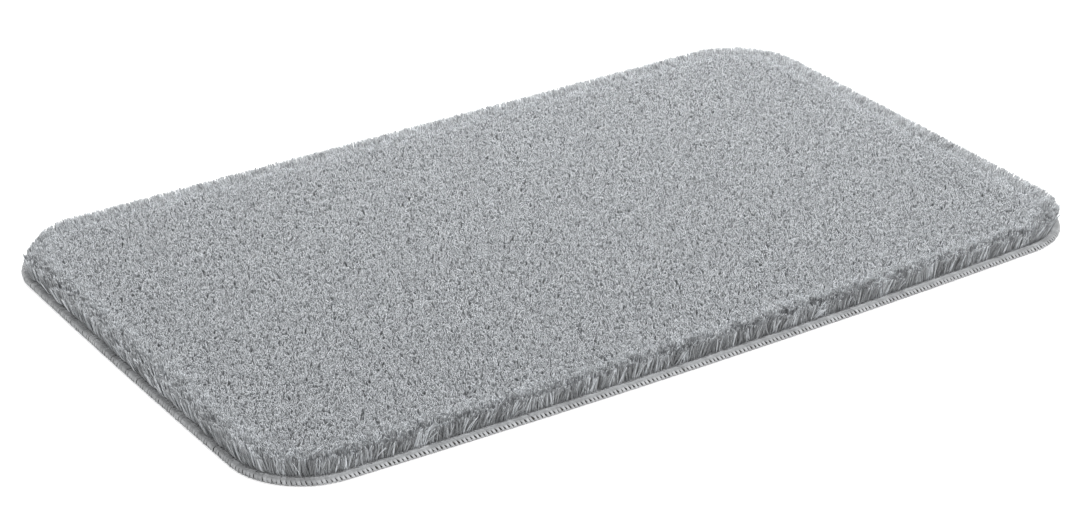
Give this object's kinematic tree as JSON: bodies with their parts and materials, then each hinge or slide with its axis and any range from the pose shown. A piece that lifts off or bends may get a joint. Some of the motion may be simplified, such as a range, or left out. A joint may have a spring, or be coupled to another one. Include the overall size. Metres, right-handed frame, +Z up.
{
  "type": "bath mat",
  "caption": "Rounded rectangular tufted bath mat with a deep soft cut pile, a narrow overlocked edge and a non-slip latex back.",
  "frame": {"origin": "middle of the underside's bounding rectangle, on the surface that the mat lies on", "axes": "+X along the mat's long side, +Y from the front long side to the rear long side, +Z up out of the pile"},
  "size_m": [1.003, 0.611, 0.0245],
  "materials": {
    "pile_yarn": "matte cut pile of fine soft yarn, cool mid grey, tips lighter than the roots",
    "overlock_thread": "fine textured thread, grey, slight sheen",
    "backing_cloth": "plain woven tape-yarn cloth, dark brown-grey, matte",
    "precoat_latex": "dried latex, dark brown-grey, matte",
    "non_slip_latex": "latex foam with a fine pebbled grip surface, dark brown-grey, matte"
  },
  "bodies": {
    "root": {"non_slip_backing": "non_slip_latex", "latex_precoat": "precoat_latex", "primary_backing": "backing_cloth", "pile_yarn": "pile_yarn", "needle_thread": "overlock_thread", "upper_looper_thread": "overlock_thread", "lower_looper_thread": "overlock_thread"}
  },
  "joints": []
}
